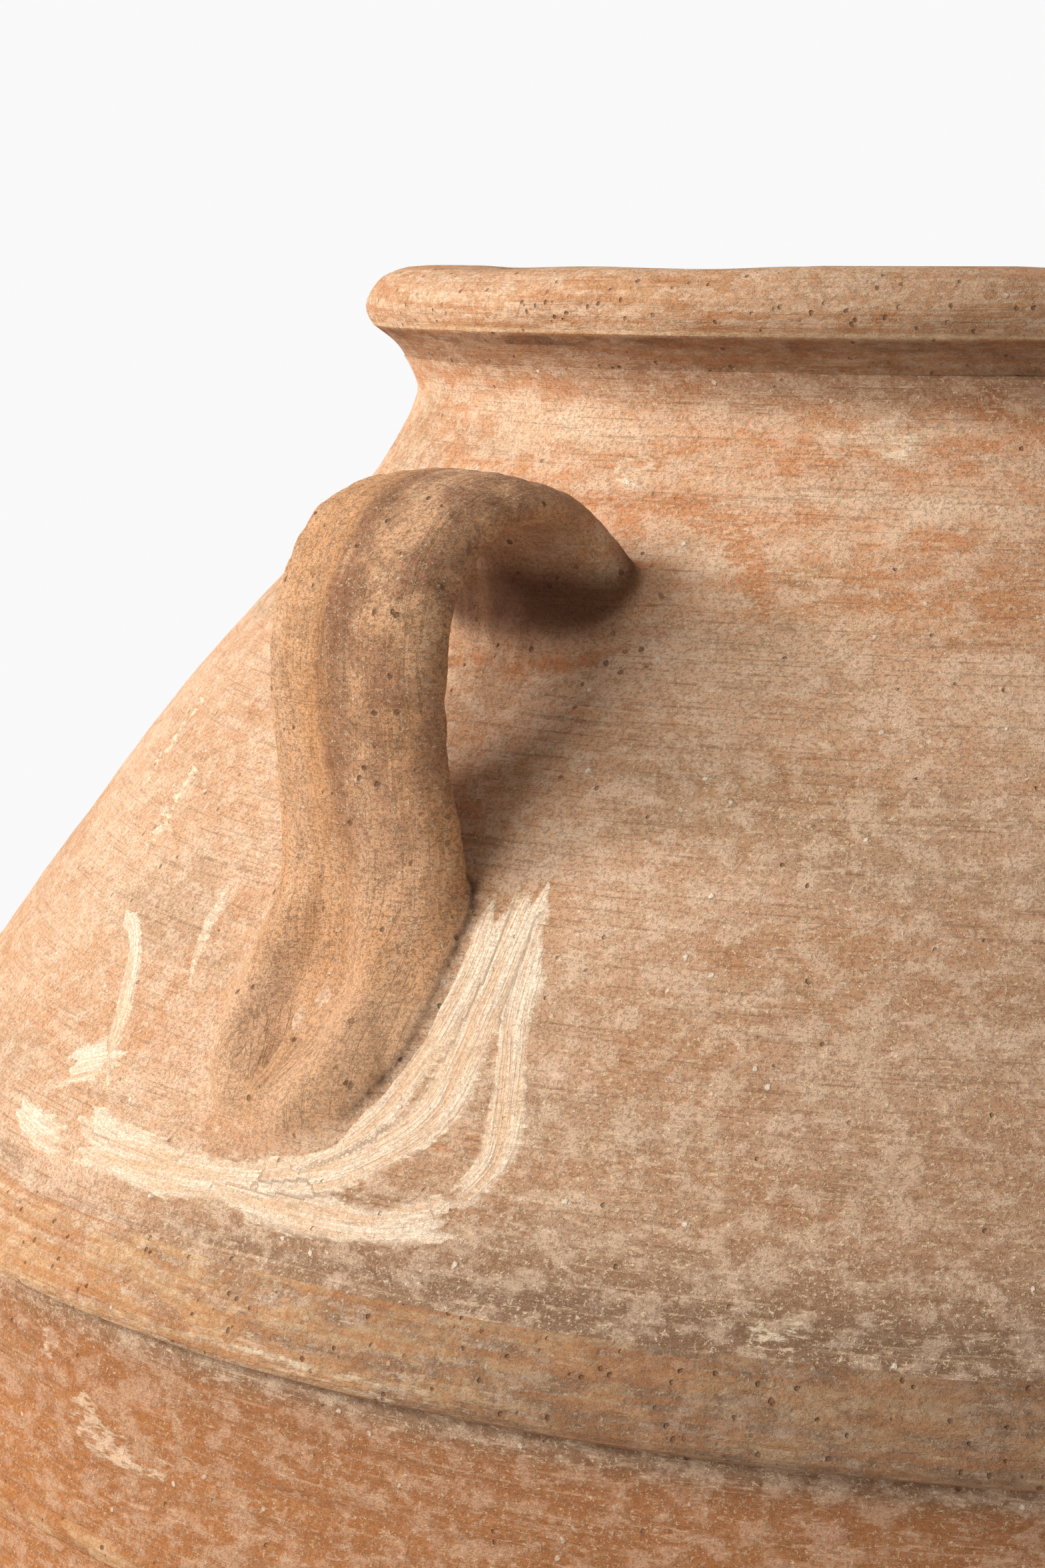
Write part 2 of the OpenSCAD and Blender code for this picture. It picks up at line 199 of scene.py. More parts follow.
def outer_line():
    """The jar's outside from foot to rim, as radius by height."""
    line = [np.array([[RIM_RADIUS, RIM_Z]])]
    for node in SECTIONS:
        runs = runs_between_corners(*cross_section(node))
        line.append(max((run for run in runs if len(run) > 4), key=lambda run: run[:, 0].mean()))
    points = np.vstack(line)
    points = points[np.argsort(points[:, 1])]
    return points[np.concatenate([[True], np.diff(points[:, 1]) > 0.3 * MM])]


OUTER = outer_line()
wall_radius = curve_through(OUTER[:, 1], OUTER[:, 0])


# Hand-made unevenness of the wall

def ripples(angle, z, seed, count, turns, waves):
    """Smooth waves round and up the jar, which close on themselves, with a spread of about 1."""
    draw = np.random.default_rng(seed)
    total = np.zeros(np.broadcast(angle, z).shape)
    for _ in range(count):
        k = draw.integers(turns[0], turns[1] + 1) * draw.choice([-1, 1])
        length = draw.uniform(*waves)
        total += np.cos(k * angle + 2 * math.pi * z / length + draw.uniform(0, 2 * math.pi))
    return total / math.sqrt(count / 2)


def ease(t):
    t = np.clip(t, 0, 1)
    return t * t * (3 - 2 * t)


def out_of_round(angle, z):
    """Slow swells and dents, pressed inwards so that the wall stays within its drawn size."""
    swell = 0.5 * np.cos(2 * angle + 0.8) + 0.35 * np.cos(3 * angle + 2.1 + 6 * z)
    dents = 0.28 * ripples(angle, z, seed=3, count=14, turns=(2, 8), waves=(0.07, 0.2))
    inwards = 1.5
    above_foot = ease(z / 0.04)
    return (swell + dents - inwards) * MM * above_foot


def turning_rings(angle, z):
    """Rings left by the potter's fingers: faint on the wiped shoulder, plainer on the belly."""
    on_belly = ease((RIDGE_LOW - z) / 0.01)
    on_neck = ease((z - RIM_Z + 0.05) / 0.02)
    depth = 0.07 + 0.33 * on_belly + 0.08 * on_neck
    fine = ripples(angle, z, seed=11, count=12, turns=(0, 2), waves=(0.006, 0.016))
    broad = ripples(angle, z, seed=12, count=6, turns=(0, 1), waves=(0.022, 0.05))
    return (0.7 * fine + 0.8 * broad) * depth * MM


def wall_points(angle, z, lift=0.0):
    """Points on the finished wall, lifted off it along its radius."""
    r = wall_radius(z) + out_of_round(angle, z) + turning_rings(angle, z) + lift
    return np.stack([r * np.cos(angle), r * np.sin(angle), z * np.ones_like(r)], axis=-1)


# Slip brushed over the clay. A stroke is a line of places, each an angle in
# degrees from its handle and a drop in millimetres below the rim's lower
# edge, with the stroke's width in millimetres and its strength. These lie
# round the handle's lower root.
ROOT_STROKES = [
    ([(6.9, 114), (7.1, 130), (6.4, 146), (4.9, 160), (2.4, 169)], 10, 0.8),
    ([(9.0, 110), (8.7, 127), (8.5, 142), (8.0, 156), (5.2, 167), (0.5, 174)], 11, 1.0),
    ([(9.9, 120), (10.2, 136), (11.2, 150), (11.6, 163), (10, 173)], 9, 0.85),
    ([(11.8, 171), (8, 176), (3.6, 177), (-1.5, 176)], 10, 0.85),
    ([(3, 172), (-2, 175.5), (-7, 177), (-12, 176)], 11, 0.95),
    ([(-21.6, 134), (-18, 139), (-15.2, 150), (-13.8, 160), (-12.3, 168)], 6, 1.0),
    ([(-17.2, 168), (-14.6, 163), (-12.2, 160)], 12, 1.1),
    ([(-19, 176), (-15.5, 178), (-12, 178.5)], 8, 1.05),
    ([(-13.5, 171), (-10, 173.5), (-5, 173)], 8, 0.7),
    ([(-11.4, 119), (-12, 132), (-10.4, 145)], 6, 0.5),
]
# Dabs of slip elsewhere on the wall, the ridge and the ring
WALL_STROKES = [
    ([(-0.5, 200), (4, 203), (12, 203.5)], 6, 0.8),
    ([(-8, 222), (-6, 232), (-2.5, 237)], 9, 0.7),
    ([(-11, 212), (-9, 225)], 5, 0.6),
    ([(-7, 233), (0, 236.5)], 6, 0.6),
    ([(22.8, 183), (26.6, 185)], 7, 0.5),
    ([(-33.2, 86), (-31.4, 113)], 7, 0.6),
    ([(-25, 96), (-23, 124)], 6, 0.5),
    ([(-2, 28), (3, 32)], 13, 0.55),
    ([(20, 20), (26, 24)], 12, 0.5),
]
# Orange stains where clay and water ran, laid on as the strokes are
STAINS = [
    ([(3, 35), (9, 39), (14, 48), (16.5, 62)], 9, 0.9),
    ([(-9, 120), (-12, 140), (-11, 158)], 8, 0.5),
    ([(-21, 196), (-10, 200), (4, 199)], 9, 0.5),
    ([(7.4, 168), (10.5, 158)], 5, 0.6),
]
# How far the shoulder runs down its slope for each metre of drop
SLOPE = 1.25


def stroke_line(places):
    """A stroke's middle line on the unrolled wall, in metres across and down, smooth through its places."""
    angles, drops = np.radians([a for a, _ in places]), np.array([d for _, d in places]) * MM
    across, down = angles * wall_radius(RIM_Z - drops), drops * SLOPE
    way = np.concatenate([[0], np.cumsum(np.hypot(np.diff(across), np.diff(down)))])
    even = np.linspace(0, way[-1], 5 * len(places))
    return np.stack([curve_through(way, across)(even), curve_through(way, down)(even)], axis=1)


def beside_line(x, y, line):
    """Each place's distance from a line, its way along it (past the ends too), and its side of it."""
    distance = np.full(np.shape(x), np.inf)
    way, side = np.zeros(np.shape(x)), np.zeros(np.shape(x))
    start = 0.0
    for (x0, y0), (x1, y1) in zip(line, line[1:]):
        step = math.hypot(x1 - x0, y1 - y0)
        ux, uy = (x1 - x0) / step, (y1 - y0) / step
        ahead = (x - x0) * ux + (y - y0) * uy
        held = np.clip(ahead, 0, step)
        dx, dy = x - x0 - held * ux, y - y0 - held * uy
        here = np.hypot(dx, dy)
        closer = here < distance
        distance = np.where(closer, here, distance)
        way = np.where(closer, start + ahead, way)
        side = np.where(closer, dx * uy - dy * ux, side)
        start += step
    return distance, way, side


def slip_cover(angle, z, strokes):
    """How much slip lies at each place, from 0 to about 1, and how far across and along its stroke it is."""
    near = np.where(np.cos(angle) < 0, math.pi, 0.0)
    turn = np.arctan2(np.sin(angle - near), np.cos(angle - near))
    across_wall, down_wall = turn * wall_radius(z), (RIM_Z - z) * SLOPE
    amount, across, along = np.zeros(turn.shape), np.zeros(turn.shape), np.zeros(turn.shape)
    nearest = np.full(turn.shape, np.inf)
    for number, (places, width, strength) in enumerate(strokes):
        line = stroke_line(places)
        length = np.hypot(*np.diff(line, axis=0).T).sum()
        distance, way, side = beside_line(across_wall, down_wall, line)
        share = distance / (width * MM / 2)
        bristle = 0.5 * np.sin(side / (0.55 * MM) + number) + 0.5 * np.sin(side / (1.3 * MM) + 2.4 * number)
        start = ease((way - (3 + 4 * bristle) * MM) / (6 * MM))
        end = ease((length - way + 5 * bristle * MM) / (9 * MM))
        frayed = share * (1 + 0.16 * np.sin(way / (5.5 * MM) + number) + 0.1 * bristle)
        laid = strength * ease(1.35 - frayed) * (start * end) * (0.93 + 0.12 * bristle)
        amount = np.maximum(amount, laid)
        closer = share < nearest
        nearest = np.where(closer, share, nearest)
        across, along = np.where(closer, side, across), np.where(closer, way, along)
    return amount, across, along


# Making meshes

def new_piece(name, bm, sharp=40):
    """A finished object from a bmesh: smooth, but sharp at the edges that turn by more than the angle."""
    limit = math.radians(sharp)
    for face in bm.faces:
        face.smooth = True
    for edge in bm.edges:
        edge.smooth = len(edge.link_faces) == 2 and edge.calc_face_angle() < limit
    mesh = bpy.data.meshes.new(name)
    bm.to_mesh(mesh)
    bm.free()
    piece = bpy.data.objects.new(name, mesh)
    bpy.context.scene.collection.objects.link(piece)
    return piece


def set_points(mesh, points):
    mesh.vertices.foreach_set("co", np.ascontiguousarray(points, dtype=np.float32).ravel())
    mesh.update()


def store(piece, name, values):
    """Keeps one number for each point of a piece, for its material to read."""
    layer = piece.data.attributes.new(name, "FLOAT", "POINT")
    layer.data.foreach_set("value", np.ascontiguousarray(values, dtype=np.float32))


def paint_slip(piece, strokes):
    """Keeps the amounts of slip and stain at each point of a piece, and its place in the slip's strokes."""
    points = mesh_points(piece.data)
    angle = round_and_out(points)[0]
    cover, across, along = slip_cover(angle, points[:, 2], strokes)
    store(piece, "slip", cover)
    store(piece, "stain", slip_cover(angle, points[:, 2], STAINS)[0])
    store(piece, "stroke_across", across)
    store(piece, "stroke_way", along)


def finish_piece(piece, material, node):
    """Gives a piece its material and its slot, and puts it in the place of its CAD node."""
    piece.data.materials.clear()
    piece.data.materials.append(material)
    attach(piece, "root")
    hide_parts(node)


# The turned pieces

SECTORS = 20


def turned(name, node, steps, spacing, inner_spacing):
    """A turned node made again with finer steps: its own outline spun into a sector, which is repeated."""
    points, closed = cross_section(node)
    runs = runs_between_corners(points, closed)
    middle = points[:, 0].mean()
    fine = [resampled(run, spacing if run[:, 0].mean() > middle else inner_spacing) for run in runs]
    if not closed:
        fine.append(points[-1:])
    outline = np.vstack(fine)
    bm = bmesh.new()
    corners = [bm.verts.new((max(r, 0), 0, z)) for r, z in outline]
    loop = [bm.edges.new(pair) for pair in zip(corners, corners[1:])]
    if closed:
        loop.append(bm.edges.new((corners[-1], corners[0])))
    about_axis = {"cent": (0, 0, 0), "axis": (0, 0, 1), "dvec": (0, 0, 0)}
    sector = 2 * math.pi / SECTORS
    bmesh.ops.spin(bm, geom=corners + loop, angle=sector, steps=steps // SECTORS, **about_axis)
    whole = bm.verts[:] + bm.edges[:] + bm.faces[:]
    rest = 2 * math.pi - sector
    bmesh.ops.spin(bm, geom=whole, angle=rest, steps=SECTORS - 1, use_duplicate=True, **about_axis)
    bmesh.ops.remove_doubles(bm, verts=bm.verts, dist=MERGE)
    bmesh.ops.recalc_face_normals(bm, faces=bm.faces)
    return new_piece(name, bm, sharp=24)


def shift_radially(piece, shift):
    """Moves each point of a piece along its radius by shift(angle, height, radius)."""
    points = mesh_points(piece.data)
    angle, radius = round_and_out(points)
    moved = np.maximum(radius + shift(angle, points[:, 2], radius), 0)
    points[:, 0], points[:, 1] = moved * np.cos(angle), moved * np.sin(angle)
    set_points(piece.data, points)


def wall_shift(angle, z, radius):
    """The wall's unevenness: both faces follow its swells and dents, and each has its own rings."""
    outside = radius > wall_radius(z) - 3 * MM
    rings = np.where(outside, turning_rings(angle, z), inside_rings(angle, z))
    return (out_of_round(angle, z) + rings) * ease(radius / 0.05)


def inside_rings(angle, z):
    """The deeper rings of the inside, which was never wiped."""
    return 0.6 * MM * ripples(angle, z, seed=21, count=14, turns=(0, 2), waves=(0.012, 0.03))


def rim_shift(angle, z, radius):
    """The rim's roll was pressed on by hand: its face swells and thins on the way round."""
    face = ease((radius - 0.165) / 0.012)
    bulges = 0.35 * ripples(angle, z, seed=31, count=16, turns=(3, 30), waves=(0.012, 0.03)) - 0.5
    return out_of_round(angle, z) + bulges * MM * face


def ridge_shift(angle, z, radius):
    """The ridge round the shoulder is worn, in some places more than in others."""
    proud = ease((radius - wall_radius(z) + 1 * MM) / (4 * MM))
    wear = 0.3 * ripples(angle, z, seed=41, count=18, turns=(2, 45), waves=(0.01, 0.03)) - 0.35
    return out_of_round(angle, z) + wear * MM * proud


def ring_shift(angle, z, radius):
    """The thin ring below the ridge is worn a little all the way round."""
    wear = 0.3 * ripples(angle, z, seed=51, count=14, turns=(1, 30), waves=(0.01, 0.02)) - 0.3
    return out_of_round(angle, z) + wear * MM


def coil_shift(angle, z, radius):
    """A seam's inner coil keeps the dents of the fingers that pressed it down."""
    dents = 0.5 * MM * ripples(angle, z, seed=61, count=12, turns=(8, 34), waves=(0.02, 0.05))
    return out_of_round(angle, z) + dents


def lower_rim_top(piece):
    """The rim's top rolls down and up a little on its way round the mouth."""
    points = mesh_points(piece.data)
    angle = round_and_out(points)[0]
    dip = 0.85 + 0.5 * ripples(angle, 0 * angle, seed=71, count=9, turns=(2, 13), waves=(1.0, 2.0))
    least_dip = 0.45
    upper_part = ease((points[:, 2] - RIM_Z) / (RIM_H * 0.8))
    points[:, 2] -= np.maximum(dip, least_dip) * MM * upper_part
    set_points(piece.data, points)


def make_wall():
    for node in SECTIONS:
        name = node.split("_")[0] + "_wall"
        piece = turned(name, node, steps=640, spacing=2.1 * MM, inner_spacing=9 * MM)
        shift_radially(piece, wall_shift)
        paint_slip(piece, WALL_STROKES)
        finish_piece(piece, clay, node)


def make_rim():
    rim = turned("rolled_rim", "rim_roll", steps=800, spacing=0.8 * MM, inner_spacing=2 * MM)
    shift_radially(rim, rim_shift)
    lower_rim_top(rim)
    finish_piece(rim, rim_clay, "rim_roll")


def make_band(name, node, spacing, inner_spacing, shift):
    """A band of clay round the outside of the wall."""
    band = turned(name, node, 900, spacing, inner_spacing)
    shift_radially(band, shift)
    paint_slip(band, WALL_STROKES)
    finish_piece(band, ridge_clay, node)


def make_seam_coils():
    for node in ("base_seam_coil", "low_seam_coil", "mid_seam_coil", "ridge_seam_coil"):
        coil = turned("pressed_" + node, node, steps=320, spacing=2 * MM, inner_spacing=6 * MM)
        shift_radially(coil, coil_shift)
        finish_piece(coil, inside_clay, node)


# The handles and their roots

def remeshed(bm, name, voxel):
    """One closed skin round everything in a bmesh, with an even net of small faces."""
    piece = new_piece(name, bm)
    remesh = piece.modifiers.new("skin", "REMESH")
    remesh.mode = "VOXEL"
    remesh.voxel_size = voxel
    remesh.use_smooth_shade = True
    return applied(piece)


def applied(piece):
    """The piece with its modifiers made into its mesh."""
    graph = bpy.context.evaluated_depsgraph_get()
    mesh = bpy.data.meshes.new_from_object(piece.evaluated_get(graph), depsgraph=graph)
    piece.modifiers.clear()
    old, piece.data = piece.data, mesh
    bpy.data.meshes.remove(old)
    return piece


def neighbours(mesh):
    """For smoothing: the two ends of every edge both ways round, and each point's number of edges."""
    ends = np.empty(len(mesh.edges) * 2, dtype=np.int64)
    mesh.edges.foreach_get("vertices", ends)
    ends = ends.reshape(-1, 2)
    here = np.concatenate([ends[:, 0], ends[:, 1]])
    there = np.concatenate([ends[:, 1], ends[:, 0]])
    return here, there, np.bincount(here, minlength=len(mesh.vertices))


def smoothed(points, net, rounds, amount):
    """Points moved towards the middle of their neighbours, by one amount or one for each point."""
    here, there, count = net
    amount = np.broadcast_to(amount, len(points))[:, None]
    for _ in range(rounds):
        middle = np.stack([
            np.bincount(here, weights=points[there, axis], minlength=len(points)) for axis in range(3)
        ], axis=1) / count[:, None]
        points = points + (middle - points) * amount
    return points


def lumps(points, size, seed):
    """Soft random lumps of about a size in metres: one number for each point, from about -0.5 to 0.5."""
    shift = Vector((seed * 3.7, seed * 1.3, seed * 2.1))
    return np.array([noise.noise(Vector(p) / size + shift) for p in points])


def wall_grid(bm, angles, drops, pace, lift=None):
    """Adds a sheet in the finished wall's surface to a bmesh, between two angles and two drops."""
    slant = 1.3
    columns = round((angles[1] - angles[0]) * float(wall_radius(RIM_Z - drops[1])) / pace)
    rows = round((drops[1] - drops[0]) * slant / pace)
    grid = bmesh.ops.create_grid(bm, x_segments=columns, y_segments=rows, size=0.5)["verts"]
    place = np.array([v.co[:2] for v in grid]) + 0.5
    angle = angles[0] + (angles[1] - angles[0]) * place[:, 0]
    z = RIM_Z - drops[0] - (drops[1] - drops[0]) * place[:, 1]
    height = 0.0 if lift is None else lift(angle, z)
    for v, point in zip(grid, wall_points(angle, z, height)):
        v.co = point
    return grid


def thicken_inwards(bm, grid, thickness):
    """Gives a sheet on the wall a thickness towards the jar's axis."""
    faces = list({f for v in grid for f in v.link_faces})
    skin = bmesh.ops.extrude_face_region(bm, geom=faces)["geom"]
    for v in skin:
        if isinstance(v, bmesh.types.BMVert):
            share = 1 - thickness / math.hypot(v.co.x, v.co.y)
            v.co.x, v.co.y = v.co.x * share, v.co.y * share


# The strap's middle line as (radius, drop below the rim's lower edge)
STRAP_LINE = np.array([
    (205.7, 42.4), (220, 37), (236.6, 40), (247.7, 50), (252.4, 64), (250.5, 84),
    (247.4, 104), (248.6, 122), (257.4, 139), (270, 153), (281, 165),
]) * MM


def way_along_strap(points, side):
    """How far each point lies along the strap, in metres from its upper end."""
    return beside_line(side * points[:, 0], RIM_Z - points[:, 2], STRAP_LINE)[1]


def strap_relief(points, side, seed):
    """How far the fingers left the strap's surface raised or pressed in, in metres."""
    across = side * points[:, 1]
    way = way_along_strap(points, side)
    wander = 2.2 * MM * np.sin(way / 0.035 + seed) + 1.2 * MM * np.sin(way / 0.013 + 2 * seed)
    stripe = across + wander
    wiped = ease((-2 * MM - across) / (8 * MM))
    grooves = -0.35 * (0.5 + 0.5 * np.cos(2 * math.pi * stripe / (6.3 * MM))) ** 3
    grooves -= 0.2 * (0.5 + 0.5 * np.cos(2 * math.pi * stripe / (2.9 * MM) + 1)) ** 2
    swells = lumps(points, 22 * MM, seed) + 0.5 * lumps(points, 7 * MM, seed + 1)
    grain = 0.3 * lumps(points, 3.2 * MM, seed + 2)
    above_print = ease((points[:, 2] - PRINT_Z - 10 * MM) / (12 * MM))
    return (grooves * (0.15 + 0.85 * wiped) * above_print + swells + grain) * MM


# The thumb print at the foot of each handle: where its middle lies, and its size
PRINT_ACROSS, PRINT_Z = -5.5 * MM, 605.5 * MM
PRINT_W, PRINT_H = 29 * MM, 36 * MM


def print_frame(points, side):
    """Each point's place across and up the thumb print, and out from its middle, in halves of its size."""
    x = (side * points[:, 1] - PRINT_ACROSS) / (PRINT_W / 2)
    y = (points[:, 2] - PRINT_Z) / (PRINT_H / 2)
    return x, y, np.hypot(x, y)


def print_relief(points, side):
    """The clay that the thumb pushed up beside its print, and the wrinkles where it stopped."""
    x, y, ring = print_frame(points, side)
    bank = 1.5 * np.exp(-((ring - 1.25) / 0.3) ** 2) * ease((np.abs(x) - 0.2) / 0.5)
    hollow = -3.1 * ease((1.08 - ring) / 0.72)
    fan = np.arctan2(x, 1.5 + y) * 19 + 1.2 * np.sin(3 * y + 2 * x)
    below = ease((-0.1 - y) / 0.4) * ease((1.1 - ring) / 0.2)
    wrinkles = -0.6 * (0.5 + 0.5 * np.cos(fan)) ** 3 * below
    return (bank + hollow + wrinkles) * MM


# The two plates of wall that the roots are worked into: from angle to angle in
# degrees, and from drop to drop in millimetres below the rim's lower edge
UPPER_ROOT_PATCH = (-13.5, 13.5, 26, 92)
LOWER_ROOT_PATCH = (-13, 12, 100, 183)
UPPER_ROOT_END = UPPER_ROOT_PATCH[3]
PLATE_PACE = 2 * MM
PLATE_DEPTH = 3.5 * MM
HANDLE_NET = 1.2 * MM
OFF_WALL = 2.5 * MM


def cut_side(points, side):
    """The lower root's right side, where the strap was set down and not smoothed in."""
    drop = (RIM_Z - points[:, 2]) / MM
    return ease((side * points[:, 1] / MM - 14) / 8) * ease((166 - drop) / 5) * ease((drop - 96) / 4)


def root_blend(points, side):
    """How softly each place is worked into the wall: hardly at all down the lower root's cut side."""
    drop = (RIM_Z - points[:, 2]) / MM
    across = side * points[:, 1] / MM
    upper = ease((UPPER_ROOT_END - drop) / 6)
    underneath = ease((drop - 62) / 8) * ease((24 - np.abs(across)) / 6)
    return upper * (1 - 0.85 * underneath) + (1 - upper) * (1 - 0.95 * cut_side(points, side))


def under_arch(points, side):
    """Where the wad fills the strap's upper corner, which the finger hollowed out smooth."""
    out, drop = side * points[:, 0] / MM, (RIM_Z - points[:, 2]) / MM
    return ease((238 - out) / 6) * ease((drop - 36) / 5) * ease((84 - drop) / 6)


def shaded_under_arch(points, side):
    """The back of the hollow under the arch, which the strap shades: its colour is darkened there as painted
    shade.
    """
    inside_strap = beside_line(side * points[:, 0], RIM_Z - points[:, 2], STRAP_LINE)[0]
    above_ring = ease((76 * MM - RIM_Z + points[:, 2]) / (16 * MM))
    return under_arch(points, side) * ease((inside_strap - 3 * MM) / (10 * MM)) * above_ring


def above_wall(points):
    """How far each point stands off the wall, along its radius."""
    angle, radius = round_and_out(points)
    return radius - wall_radius(points[:, 2]) - out_of_round(angle, points[:, 2])


def handle_shell(side, name, word):
    """One rough skin over the strap, its wad and the two plates of wall."""
    bm = node_mesh(word + "_handle", word + "_upper_wad")
    middle = 0 if side > 0 else math.pi
    for low, high, top, bottom in (UPPER_ROOT_PATCH, LOWER_ROOT_PATCH):
        angles = (middle + math.radians(low), middle + math.radians(high))
        thicken_inwards(bm, wall_grid(bm, angles, (top * MM, bottom * MM), PLATE_PACE), PLATE_DEPTH)
    return remeshed(bm, name, HANDLE_NET)


def away_from_strap(points):
    """How far each point of the wall lies from the nearest one that stands off it, which itself has 0."""
    lift = above_wall(points)
    tree = KDTree(len(points))
    for i in np.flatnonzero(lift > OFF_WALL):
        tree.insert(points[i], i)
    tree.balance()
    return np.array([tree.find(p)[2] if low else 0.0 for p, low in zip(points, lift <= OFF_WALL)])


def worked_in(points, net, away, side):
    """The skin with its roots smoothed into the wall, the upper one further, and its hollow smoothed out."""
    lift = above_wall(points)
    reach = np.where(points[:, 2] > RIM_Z - 96 * MM, 14 * MM, 9 * MM)
    near = ease(1.2 - away / reach - np.maximum(lift, 0) / (4.5 * MM)) * (lift > -1.5 * MM)
    in_hollow = under_arch(points, side) * ease((lift - 2 * MM) / (3 * MM))
    amount = 0.5 * np.maximum(near * root_blend(points, side), in_hollow)
    return smoothed(points, net, rounds=70, amount=amount)


def mark_handle(piece, points, side, lift, away, on_strap):
    """Keeps at each point of a handle what its material reads."""
    drop = RIM_Z - points[:, 2]
    way = way_along_strap(points, side)
    store(piece, "strap", on_strap * (0.25 + 0.75 * ease((way - 2 * MM) / (26 * MM))))
    store(piece, "strap_across", side * points[:, 1])
    store(piece, "strap_way", way)
    # Where the lower root's cut side meets the wall, the crack is painted dark as painted shade
    at_wall = ease((2.4 * MM - lift) / (1.2 * MM)) * ease((2.8 * MM - away) / (1.6 * MM))
    store(piece, "crack", at_wall * cut_side(points, side))
    below_arch = ease((84 * MM - drop) / (4 * MM)) * ease((drop - 60 * MM) / (8 * MM))
    beside_root = ease((6 * MM - lift) / (4 * MM)) * ease((6 * MM - away) / (5 * MM))
    store(piece, "contact", beside_root * below_arch)
    # Painted shade in the hollow under the arch
    store(piece, "hollow", ease((lift - 2 * MM) / (8 * MM)) * shaded_under_arch(points, side))
    x, y, ring = print_frame(points, side)
    store(piece, "print_low", ease((0.1 - y) / 0.6) * ease((1.1 - ring) / 0.35))
    above_fan = 1.3 + y
    store(piece, "print_turn", np.arctan2(x, above_fan) * 20 * MM)
    store(piece, "print_way", np.hypot(x, above_fan) * 15 * MM)


def make_handle(side, name, word, seed):
    """The strap, with its roots worked into the wall."""
    piece = handle_shell(side, name, word)
    net = neighbours(piece.data)
    points = smoothed(mesh_points(piece.data), net, rounds=5, amount=0.6)
    away = away_from_strap(points)
    points = worked_in(points, net, away, side)
    set_points(piece.data, points)
    lift, radius = above_wall(points), round_and_out(points)[1]
    on_strap = ease((lift - 0.5 * MM) / (3 * MM))
    raised = strap_relief(points, side, seed) + print_relief(points, side)
    points = points + mesh_normals(piece.data) * (raised * on_strap)[:, None]
    sink = (0.2 + 1.6 * ease((away - 7 * MM) / (8 * MM))) * MM * ease((OFF_WALL - lift) / (2 * MM))
    outwards = np.stack([points[:, 0] / radius, points[:, 1] / radius, 0 * radius], axis=1)
    set_points(piece.data, points - outwards * sink[:, None])
    mark_handle(piece, points, side, lift, away, on_strap)
    paint_slip(piece, WALL_STROKES)
    finish_piece(piece, strap_clay, word + "_handle")


def mesh_normals(mesh):
    normals = np.empty(len(mesh.vertices) * 3)
    mesh.vertex_normals.foreach_get("vector", normals)
    return normals.reshape(-1, 3)


def make_wad(name, node, seed):
    """The wad of clay pressed in under the arch, sunk and narrowed until the handle's skin hides it."""
    piece = remeshed(node_mesh(node), name, 0.9 * MM)
    points = smoothed(mesh_points(piece.data), neighbours(piece.data), rounds=6, amount=0.5)
    sunk = (3.2 + 0.6 * lumps(points, 9 * MM, seed)) * MM
    narrowed = 0.86
    deeper = 1 - sunk / round_and_out(points)[1]
    points *= np.stack([deeper, narrowed * deeper, np.ones(len(points))], axis=1)
    set_points(piece.data, points)
    finish_piece(piece, strap_clay, node)


# The part of the wall that the root's slip lies on, and the least slip that is made as a relief
SLIP_ANGLES = (math.radians(-21), math.radians(14))
SLIP_DROPS = (106 * MM, 186 * MM)
LEAST_SLIP = 0.06


def make_slip(side, name, node):
    """The slip brushed round a lower root, thickest down the middle of each stroke."""
    middle = 0 if side > 0 else math.pi

    def height(angle, z):
        return (0.42 * slip_cover(angle, z, ROOT_STROKES)[0] - 0.12) * MM

    bm = bmesh.new()
    grid = wall_grid(bm, [middle + angle for angle in SLIP_ANGLES], SLIP_DROPS, 0.8 * MM, height)
    places = np.array([v.co for v in grid])
    cover = slip_cover(round_and_out(places)[0], places[:, 2], ROOT_STROKES)[0]
    bare = [v for v, amount in zip(grid, cover) if amount < LEAST_SLIP]
    bmesh.ops.delete(bm, geom=bare, context="VERTS")
    thicken_inwards(bm, bm.verts[:], 1.2 * MM)
    bmesh.ops.recalc_face_normals(bm, faces=bm.faces)
    piece = new_piece(name, bm)
    paint_slip(piece, ROOT_STROKES)
    finish_piece(piece, slip, node)


# Materials

def linear(hex_code):
    """An sRGB hex colour as the linear RGBA that a node takes."""
    parts = [int(hex_code[i:i + 2], 16) / 255 for i in (1, 3, 5)]
    return [p / 12.92 if p <= 0.04045 else ((p + 0.055) / 1.055) ** 2.4 for p in parts] + [1.0]


def add(tree, kind, inputs, out=0, **settings):
    """Adds a node with its settings, sets or links its inputs, and gives back one of its outputs."""
    node = tree.nodes.new("ShaderNode" + kind)
    for name, value in settings.items():
        setattr(node, name, value)
    for name, value in inputs.items():
        if isinstance(value, bpy.types.NodeSocket):
            tree.links.new(value, node.inputs[name])
        else:
            node.inputs[name].default_value = value
    return node.outputs[out]


# A mask's edge, eased at both ends
SOFT = {"interpolation_type": "SMOOTHSTEP"}


def blotches(tree, sizes, span, detail=3.0, seed=0.0, place=None, roughness=0.58):
    """A mask of soft blotches, of the given sizes in millimetres along X, Y and Z."""
    place = place or add(tree, "TexCoord", {}, out="Object")
    scale = [1 / (size * MM) for size in sizes]
    scaled = add(tree, "Mapping", {"Vector": place, "Location": [seed] * 3, "Scale": scale})
    value = add(tree, "TexNoise", {"Vector": scaled, "Scale": 1.0, "Detail": detail, "Roughness": roughness})
    return add(tree, "MapRange", {"Value": value, "From Min": span[0], "From Max": span[1]}, **SOFT)


